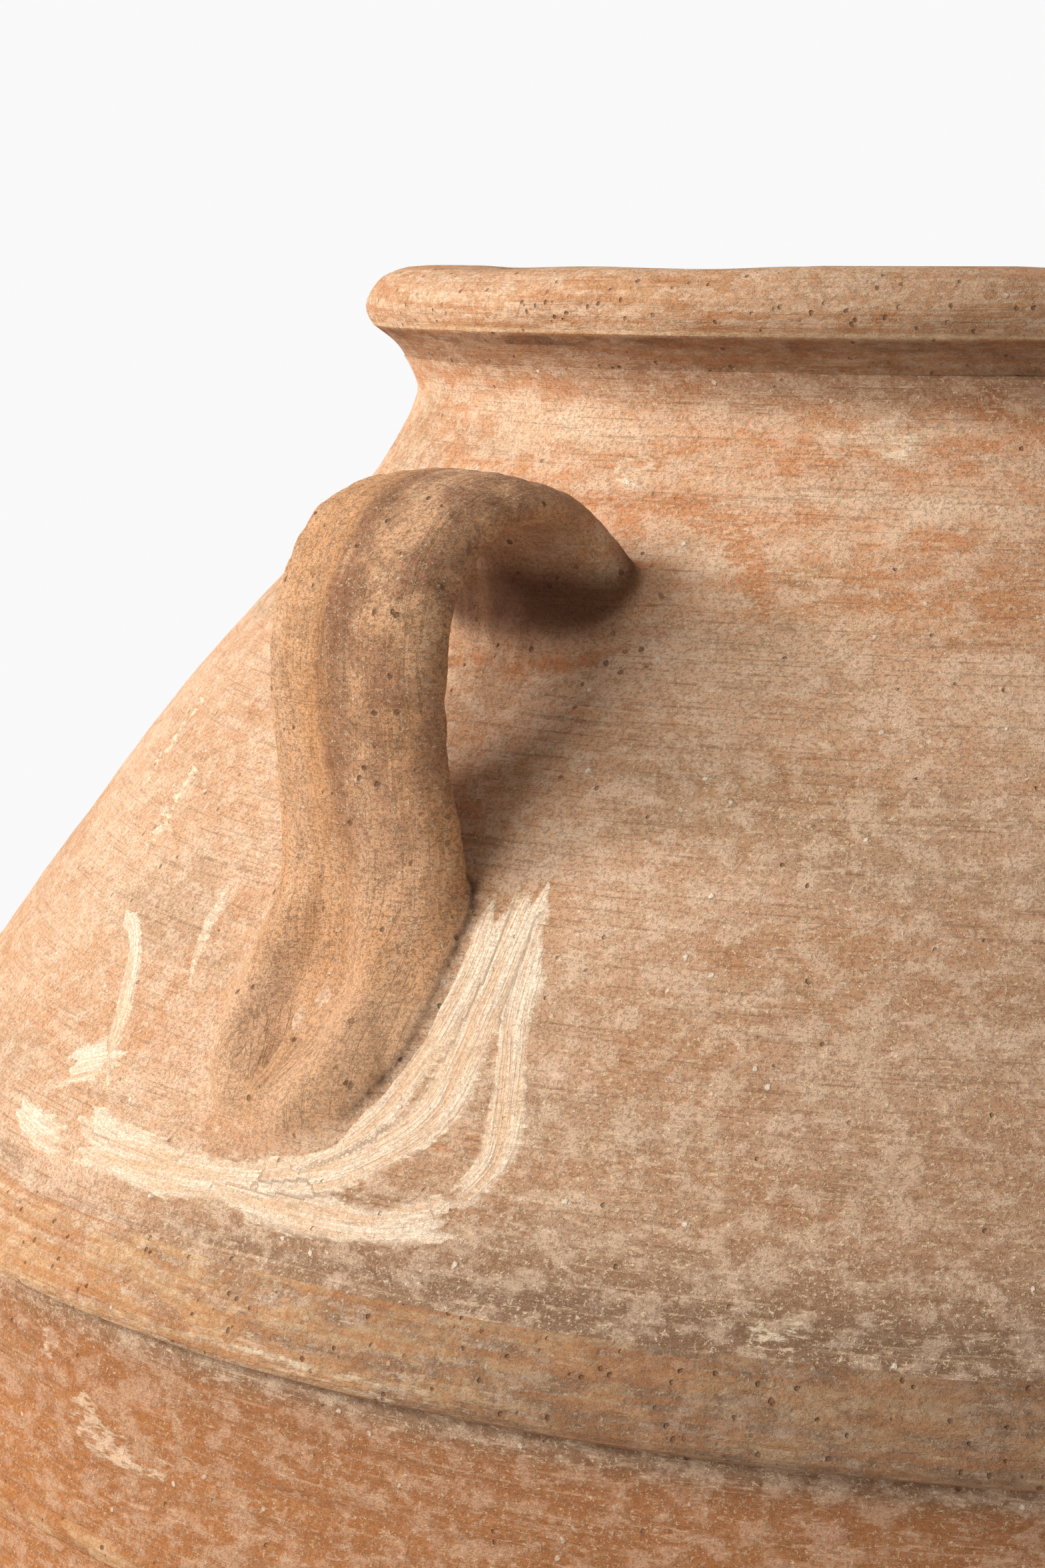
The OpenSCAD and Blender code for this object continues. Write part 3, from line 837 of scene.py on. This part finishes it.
def specks(tree, cell, radius, share, seed=0.0):
    """A mask of small uneven spots, one to a cell of the given millimetres, of which only a share show."""
    place = add(tree, "TexCoord", {}, out="Object")
    wobble = {"Vector": place, "Scale": 0.6 / (radius * MM), "Detail": 1.0}
    shaken = add(tree, "TexNoise", wobble, out="Color")
    reach = [radius * MM * 1.2] * 3
    moved = add(tree, "VectorMath", {0: shaken, 1: reach, 2: place}, operation="MULTIPLY_ADD")
    scale = [1 / (cell * MM)] * 3
    scaled = add(tree, "Mapping", {"Vector": moved, "Location": [seed] * 3, "Scale": scale})
    distance = add(tree, "TexVoronoi", {"Vector": scaled, "Scale": 1.0}, out="Distance")
    rim, core = 1.15 * radius / cell, 0.55 * radius / cell
    spot = add(tree, "MapRange", {"Value": distance, "From Min": rim, "From Max": core}, **SOFT)
    draw = add(tree, "SeparateXYZ", {0: distance.node.outputs["Color"]})
    return add(tree, "MapRange", {"Value": draw, "From Min": share, "From Max": share * 0.6, "To Max": spot})


def height_band(tree, low, high, soft):
    """A mask between two heights in metres, with soft ends."""
    place = add(tree, "TexCoord", {}, out="Object")
    z = add(tree, "SeparateXYZ", {0: place}, out="Z")
    above = add(tree, "MapRange", {"Value": z, "From Min": low - soft, "From Max": low + soft}, **SOFT)
    below = {"Value": z, "From Min": high + soft, "From Max": high - soft, "To Max": above}
    return add(tree, "MapRange", below, **SOFT)


def below_rim(tree, top, bottom, soft):
    """A mask between two drops below the rim's lower edge, in millimetres."""
    return height_band(tree, RIM_Z - bottom * MM, RIM_Z - top * MM, soft * MM)


def both(tree, *masks):
    """The product of some masks and strengths."""
    product = masks[0]
    for mask in masks[1:]:
        product = add(tree, "Math", {0: product, 1: mask}, operation="MULTIPLY")
    return product


def layered(tree, colour, layers):
    """A base colour with layers laid over it in turn: each is its masks and its strength, and its colour."""
    for masks, hex_code in layers:
        mask = both(tree, *masks)
        colour = add(tree, "Mix", {0: mask, 6: colour, 7: linear(hex_code)}, out=2, data_type="RGBA")
    return colour


def heaped(tree, reliefs):
    """The sum of some reliefs, each a mask and its height in millimetres, as a height in metres."""
    height = 0.0
    for mask, size in reliefs:
        height = add(tree, "Math", {0: mask, 1: size * MM, 2: height}, operation="MULTIPLY_ADD")
    return height


def new_material(name):
    material = bpy.data.materials.new(name)
    material.use_nodes = True
    return material, material.node_tree


DRY_CLAY_SHINE = 0.25


def dress(tree, colour, height, roughness):
    """Gives a material's shader its colour and its relief."""
    shader = tree.nodes["Principled BSDF"]
    tree.links.new(colour, shader.inputs["Base Color"])
    shader.inputs["Roughness"].default_value = roughness
    shader.inputs["Specular IOR Level"].default_value = DRY_CLAY_SHINE
    normal = add(tree, "Bump", {"Height": height, "Distance": 1.0, "Strength": 1.0})
    tree.links.new(normal, shader.inputs["Normal"])


def sand(tree):
    """The sand in the clay: dark and light grains.

    The real ones are about 0.5 mm across. They are drawn at twice that, so that they show.
    """
    dark = blotches(tree, (1.1, 1.1, 0.9), (0.52, 0.61), 3.0, roughness=1.0)
    light = blotches(tree, (1.2, 1.2, 1.0), (0.53, 0.62), 3.0, seed=9.0, roughness=1.0)
    return dark, light


# The side of the jar away from the lamps, which the colour darkens as painted shade
SHADE_SIDE = direction(225, 0)


def turned_away(tree, start, full):
    """A mask that comes up with the distance in metres towards the side away from the lamps, for painted
    shade.
    """
    place = add(tree, "TexCoord", {}, out="Object")
    toward = add(tree, "VectorMath", {0: place, 1: SHADE_SIDE}, out="Value", operation="DOT_PRODUCT")
    return add(tree, "MapRange", {"Value": toward, "From Min": start, "From Max": full}, **SOFT)


def wall_look(tree):
    """The wiped wall: the colour and reliefs that every piece of the jar's outside shares, the sand first."""
    dark, light = sand(tree)
    wiped_dark = blotches(tree, (38, 38, 0.55), (0.54, 0.70), 3.0, seed=3.0)
    wiped_light = blotches(tree, (26, 26, 1.0), (0.56, 0.72), 3.0, seed=5.0)
    orange = blotches(tree, (46, 46, 17), (0.47, 0.66), 5.0, seed=1.0)
    neck = below_rim(tree, 6, 62, 10)
    # Under the rim: a band, partly stain and partly painted shade, and a thin line of painted shade just
    # under its edge
    under_rim = below_rim(tree, 1, 9, 3)
    under_edge = below_rim(tree, 0.5, 3, 0.5)
    # The groove and the undercut, streaked dark as painted shade
    groove = below_rim(tree, 182, 188, 4)
    undercut = below_rim(tree, 206, 223, 5)
    belly = height_band(tree, -1.0, RIDGE_LOW - 4 * MM, 3 * MM)
    haze = blotches(tree, (26, 26, 8), (0.46, 0.68), 7.0, seed=16.0)
    far_side_shade = turned_away(tree, 0.14, 0.29)
    # Painted shade under the rim on the side away from the lamps
    shaded_neck = both(tree, turned_away(tree, 0.08, 0.17), below_rim(tree, 3, 17, 5))
    low_shoulder = below_rim(tree, 176, 212, 14)
    streaks = blotches(tree, (80, 80, 3.2), (0.38, 0.62), 4.0, seed=7.0)
    mottle = blotches(tree, (7, 7, 4), (0.45, 0.62), 4.0, seed=4.0)
    lime = specks(tree, 7, 0.7, 0.5)
    pits = specks(tree, 5.5, 0.55, 0.4, seed=2.0)
    slip_edge = blotches(tree, (5, 5, 1.2), (0.3, 0.7), 4.0, seed=6.0)
    slip_amount = add(tree, "Attribute", {}, out="Fac", attribute_name="slip")
    slip_laid = add(tree, "Math", {0: slip_amount, 1: slip_edge}, operation="ADD")
    stain_amount = add(tree, "Attribute", {}, out="Fac", attribute_name="stain")
    stain_laid = add(tree, "Math", {0: stain_amount, 1: slip_edge}, operation="ADD")
    stain_mask = add(tree, "MapRange", {"Value": stain_laid, "From Min": 0.75, "From Max": 1.4}, **SOFT)
    slip_mask = add(tree, "MapRange", {"Value": slip_laid, "From Min": 0.75, "From Max": 1.25}, **SOFT)
    colour = layered(tree, linear("#CB9973"), [
        ((blotches(tree, (70, 70, 34), (0.40, 0.62), 5.0), 0.8), "#D8AB88"),
        ((orange, 0.45), "#BF7E48"),
        ((neck, blotches(tree, (34, 34, 7), (0.40, 0.62), 6.0, seed=14.0), 0.6), "#C8793F"),
        ((neck, haze, 0.4), "#E9C9A8"),
        ((haze, 0.3), "#E6C6A4"),
        ((belly, 0.85), "#A4632F"),
        ((belly, streaks, 0.5), "#BC7C40"),
        ((belly, blotches(tree, (60, 60, 2.2), (0.52, 0.64), 3.0, seed=15.0), 0.5), "#7D4A26"),
        ((blotches(tree, (90, 90, 26), (0.50, 0.66), 5.0, seed=8.0), 0.5), "#A3805F"),
        # Partly stain, partly painted shade under the rim
        ((under_rim, streaks, 0.7), "#7C563A"),
        ((shaded_neck, 0.5), "#6B4C36"),
        # Painted shade in the groove and the undercut
        ((groove, streaks, 0.55), "#6C5442"),
        ((undercut, streaks, 0.6), "#6E4A2E"),
        # Painted shade: the side away from the lamps is darker, most of all on the low shoulder
        ((far_side_shade, low_shoulder, 0.8), "#65503E"),
        ((far_side_shade, 0.5), "#7F5D44"),
        ((wiped_dark, 0.25), "#93694A"),
        # The wipe lines, darker on the side away from the lamps as painted shade
        ((wiped_dark, turned_away(tree, 0.0, 0.16), 0.4), "#8C6345"),
        ((wiped_light, 0.35), "#E2C09A"),
        ((mottle, 0.4), "#E7C8AB"),
        ((stain_mask, 0.7), "#BC7440"),
        ((dark, 0.48), "#8A5F40"),
        ((light, 0.6), "#F0D4AE"),
        ((slip_mask, 0.75), "#F0D7B6"),
        # Painted shade just under the rim's edge
        ((under_edge, 0.75), "#5E3D26"),
        ((lime, 0.8), "#EBDCC4"),
        ((belly, 0.35), "#A9622B"),
        ((pits, 0.6), "#6F4B31"),
    ])
    reliefs = [
        (dark, -0.10), (light, 0.09), (wiped_dark, -0.09), (wiped_light, 0.06), (mottle, 0.14),
        (pits, -0.5), (lime, 0.25), (slip_mask, 0.15),
    ]
    return colour, reliefs


def wiped_terracotta():
    """Coarse earthenware, wiped with a wet hand as it turned: matt and sandy, with a chalky bloom."""
    material, tree = new_material("wiped_terracotta")
    colour, reliefs = wall_look(tree)
    dress(tree, colour, heaped(tree, reliefs), 0.92)
    return material


def worn_terracotta(name, pale, share, shade_span):
    """Earthenware where hands and lids have rubbed it: chalky high spots over orange clay, and more pits."""
    material, tree = new_material(name)
    colour, reliefs = wall_look(tree)
    rubbed = blotches(tree, (16, 16, 4), (0.42, 0.58), 6.0, seed=11.0)
    flecks = blotches(tree, (3.6, 3.6, 1.6), (0.47, 0.58), 4.0, seed=12.0)
    holes = specks(tree, 2.9, 0.6, 0.5, seed=13.0)
    colour = layered(tree, colour, [
        ((rubbed, share), pale),
        ((blotches(tree, (40, 40, 1.6), (0.46, 0.62), 4.0, seed=17.0), 0.5), "#B87440"),
        ((flecks, 0.4), "#B5773F"),
        # A pale line along the rim's lower edge: a painted highlight
        ((height_band(tree, RIM_Z + 0.1 * MM, RIM_Z + 0.9 * MM, 0.4 * MM), 0.4), "#F0D2A4"),
        # Painted shade on the rim's underside
        ((below_rim(tree, 0.4, 20, 0.4), 0.4), "#7A5236"),
        # Painted shade on the side away from the lamps
        ((turned_away(tree, *shade_span), 0.5), "#6F5643"),
        ((holes, 0.7), "#6B4529"),
    ])
    dress(tree, colour, heaped(tree, reliefs + [(rubbed, 0.15), (flecks, 0.12), (holes, -0.5)]), 0.92)
    return material


def handle_terracotta():
    """The strap, pulled through a wet hand: streaked along its length, tan at the left and brown on top, the
    brown right of its crest partly painted shade.
    """
    material, tree = new_material("pulled_terracotta")
    colour, reliefs = wall_look(tree)
    dark, light = reliefs[0][0], reliefs[1][0]
    strap, across, way, hollow, contact, crack, print_low, print_turn, print_way = (
        add(tree, "Attribute", {}, out="Fac", attribute_name=name)
        for name in ("strap", "strap_across", "strap_way", "hollow", "contact", "crack",
                     "print_low", "print_turn", "print_way")
    )
    along = add(tree, "CombineXYZ", {0: way, 1: across})
    broad = blotches(tree, (60, 9, 1), (0.42, 0.60), 4.0, seed=1.0, place=along)
    fine = blotches(tree, (30, 1.3, 1), (0.50, 0.66), 3.0, seed=2.0, place=along)
    crest = add(tree, "MapRange", {"Value": across, "From Min": -9 * MM, "From Max": 0.0}, **SOFT)
    film = blotches(tree, (14, 14, 20), (0.42, 0.60), 5.0, seed=21.0)
    crest_line = add(tree, "MapRange", {"Value": across, "From Min": 7 * MM, "From Max": -1 * MM})
    fading = {"Value": way, "From Min": 120 * MM, "From Max": 60 * MM, "To Min": 0.2, "To Max": 1.0}
    upper = add(tree, "MapRange", fading, **SOFT)
    dark_streak = both(tree, crest, crest_line, upper,
                       blotches(tree, (30, 5, 1), (0.36, 0.52), 4.0, seed=23.0, place=along))
    holes = specks(tree, 4.2, 0.75, 0.55, seed=22.0)
    left_of = add(tree, "MapRange", {"Value": across, "From Min": 1 * MM, "From Max": -8 * MM})
    right_of = add(tree, "MapRange", {"Value": across, "From Min": -17 * MM, "From Max": -10 * MM})
    orange_streak = both(tree, left_of, right_of,
                         blotches(tree, (50, 6, 1), (0.38, 0.56), 4.0, seed=27.0, place=along))
    foot = add(tree, "MapRange", {"Value": way, "From Min": 128 * MM, "From Max": 150 * MM}, **SOFT)
    fan = add(tree, "CombineXYZ", {0: print_turn, 1: print_way})
    wrinkled = both(tree, print_low, blotches(tree, (0.9, 6, 1), (0.50, 0.64), 4.0, seed=26.0, place=fan))
    broken = blotches(tree, (6, 6, 3), (0.42, 0.60), 6.0, seed=24.0)
    colour = layered(tree, colour, [
        ((strap, 0.85), "#D5A37A"),
        ((strap, broad, 0.5), "#C88D58"),
        # Right of the crest, towards the top: a brown film, and painted shade where that face turns from the
        # lamps
        ((strap, crest, film, upper, 0.9), "#9A6B4F"),
        ((strap, dark_streak, 0.8), "#825337"),
        ((strap, upper, blotches(tree, (9, 9, 6), (0.44, 0.60), 5.0, seed=25.0), 0.35), "#8F6342"),
        ((strap, fine, 0.3), "#9A6F48"),
        ((strap, light, 0.5), "#EFD3AE"),
        ((strap, dark, 0.5), "#855B3B"),
        # Painted shade in the hollow under the arch
        ((hollow, 0.9), "#57331B"),
        ((contact, broken, 0.65), "#B0662F"),
        ((strap, orange_streak, 0.42), "#C98C55"),
        ((strap, foot, 0.35), "#DFB48F"),
        ((wrinkled, broken, 0.6), "#835A3F"),
        # Painted shade in the crack at the cut side
        ((crack, 0.9), "#2E1B0F"),
        ((holes, 0.7), "#5F3B20"),
    ])
    own = [
        (both(tree, strap, fine), -0.1), (both(tree, strap, film), 0.08), (holes, -0.5),
        (both(tree, strap, dark), -0.06), (both(tree, strap, light), 0.05), (wrinkled, -0.2),
    ]
    dress(tree, colour, heaped(tree, reliefs + own), 0.9)
    return material


def brushed_slip():
    """Pale clay thinned with water and brushed on: chalky and streaked, with the body showing through."""
    material, tree = new_material("brushed_slip")
    colour, reliefs = wall_look(tree)
    dark, light = reliefs[0][0], reliefs[1][0]
    amount, way, across = (
        add(tree, "Attribute", {}, out="Fac", attribute_name=name)
        for name in ("slip", "stroke_way", "stroke_across")
    )
    stroke = add(tree, "CombineXYZ", {0: way, 1: across})
    bristles = blotches(tree, (18, 0.8, 1), (0.42, 0.64), 3.0, place=stroke)
    broad = blotches(tree, (30, 2.6, 1), (0.42, 0.62), 3.0, seed=32.0, place=stroke)
    thick = add(tree, "MapRange", {"Value": amount, "From Min": 0.22, "From Max": 0.8}, **SOFT)
    colour = layered(tree, colour, [
        ((thick, 0.86), "#F4DBBF"),
        ((thick, broad, 0.65), "#E2B389"),
        ((thick, bristles, 0.38), "#CB935F"),
        ((thick, dark, 0.25), "#B98D66"),
        ((thick, light, 0.4), "#FAEBD6"),
    ])
    own = [(both(tree, thick, bristles), -0.14), (both(tree, thick, broad), -0.12)]
    dress(tree, colour, heaped(tree, reliefs + own), 0.95)
    return material


def inner_terracotta():
    """The clay of the inside, never wiped: plainer, with soft finger rings and sandy grain."""
    material, tree = new_material("inner_terracotta")
    dark, light = sand(tree)
    rings = blotches(tree, (60, 60, 4), (0.40, 0.62), 3.0, seed=41.0)
    colour = layered(tree, linear("#C4916A"), [
        ((blotches(tree, (50, 50, 40), (0.40, 0.62), 4.0), 0.6), "#B4794C"),
        ((rings, 0.4), "#D3A57C"),
        ((dark, 0.4), "#8E6443"),
        ((light, 0.4), "#E6C8A2"),
    ])
    dress(tree, colour, heaped(tree, [(dark, -0.08), (light, 0.08), (rings, 0.15)]), 0.93)
    return material


clay = wiped_terracotta()
rim_clay = worn_terracotta("rubbed_terracotta", "#DDB794", 0.7, (0.12, 0.20))
ridge_clay = worn_terracotta("ridge_terracotta", "#D6AD80", 0.6, (0.20, 0.30))
strap_clay = handle_terracotta()
slip = brushed_slip()
inside_clay = inner_terracotta()

make_wall()
make_rim()
make_band("worn_ridge", "shoulder_ridge", 0.8 * MM, 4 * MM, ridge_shift)
make_band("worn_belly_ring", "belly_ring", 0.6 * MM, 2 * MM, ring_shift)
make_seam_coils()
for side, word, seed in ((-1, "left", 1), (1, "right", 8)):
    make_handle(side, word + "_strap_handle", word, seed)
    make_wad(word + "_pressed_wad", word + "_upper_wad", seed)
    make_slip(side, word + "_brushed_slip", word + "_root_slip")


# The stage

FLOOR_RADIUS = 6.0
WHITE_FROM, WHITE_TO = 0.7, 1.5
WHITE = 0.95
WORLD_LIGHT = 0.38


def seen_by_eye(tree):
    """1 for what is seen, straight or in a mirror or through glass, and 0 for light on its way."""
    seen = add(tree, "LightPath", {}, out="Is Camera Ray")
    rays = seen.node.outputs
    for name in ("Is Glossy Ray", "Is Transmission Ray"):
        seen = add(tree, "Math", {0: seen, 1: rays[name]}, operation="MAXIMUM")
    return seen


def pale_floor():
    """Matt painted board: plain, a little warm, and fading into the white backdrop away from the jar."""
    material, tree = new_material("matt_painted_board")
    tone = blotches(tree, (900, 900, 900), (0.3, 0.7), 2.0)
    colour = add(tree, "Mix", {0: tone, 6: linear("#E4E2DF"), 7: linear("#EAE8E5")}, out=2, data_type="RGBA")
    shader = tree.nodes["Principled BSDF"]
    tree.links.new(colour, shader.inputs["Base Color"])
    shader.inputs["Roughness"].default_value = 0.8
    place = add(tree, "TexCoord", {}, out="Object")
    away = add(tree, "VectorMath", {0: place}, out="Value", operation="LENGTH")
    fade = add(tree, "MapRange", {"Value": away, "From Min": WHITE_FROM, "From Max": WHITE_TO}, **SOFT)
    white = add(tree, "Emission", {"Color": [1, 1, 1, 1], "Strength": WHITE})
    mixed = add(tree, "MixShader", {0: both(tree, fade, seen_by_eye(tree)), 1: shader.outputs[0], 2: white})
    tree.links.new(mixed, tree.nodes["Material Output"].inputs["Surface"])
    return material


def make_floor():
    bm = bmesh.new()
    bmesh.ops.create_circle(bm, cap_ends=True, segments=96, radius=FLOOR_RADIUS)
    floor = new_piece("floor", bm)
    floor.data.materials.append(pale_floor())


def light_room():
    """An even white room: dim as a light, and white to the eye."""
    world = bpy.data.worlds.new("studio")
    world.use_nodes = True
    tree = world.node_tree
    strength = add(tree, "MapRange", {"Value": seen_by_eye(tree), "To Min": WORLD_LIGHT, "To Max": WHITE})
    background = tree.nodes["Background"]
    background.inputs["Color"].default_value = (1, 1, 1, 1)
    tree.links.new(strength, background.inputs["Strength"])
    bpy.context.scene.world = world


# Two lamps on the same side, found from the shadow that the handle throws: a
# small one that draws its edge, and a wide one that softens the whole jar.
# Each has its turn and rise in degrees, its size in metres and its power.
LAMP_AWAY = 2.5
LAMP_AIM = (0, 0, JAR_H * 0.8)
LAMPS = {"key": (132, 25, (0.45, 0.45), 25), "window": (151, 30, (2.2, 1.2), 55)}


def hang_lamps():
    for name, (turn, rise, size, power) in LAMPS.items():
        toward = direction(turn, rise)
        lamp = bpy.data.lights.new(name, "AREA")
        lamp.shape = "RECTANGLE"
        lamp.size, lamp.size_y = size
        lamp.energy = power
        holder = bpy.data.objects.new(name, lamp)
        facing = toward.to_track_quat("Z", "Y").to_matrix().to_4x4()
        holder.matrix_world = Matrix.Translation(Vector(LAMP_AIM) + toward * LAMP_AWAY) @ facing
        bpy.context.scene.collection.objects.link(holder)


make_floor()
light_room()
hang_lamps()
bpy.context.scene.view_settings.view_transform = "Standard"
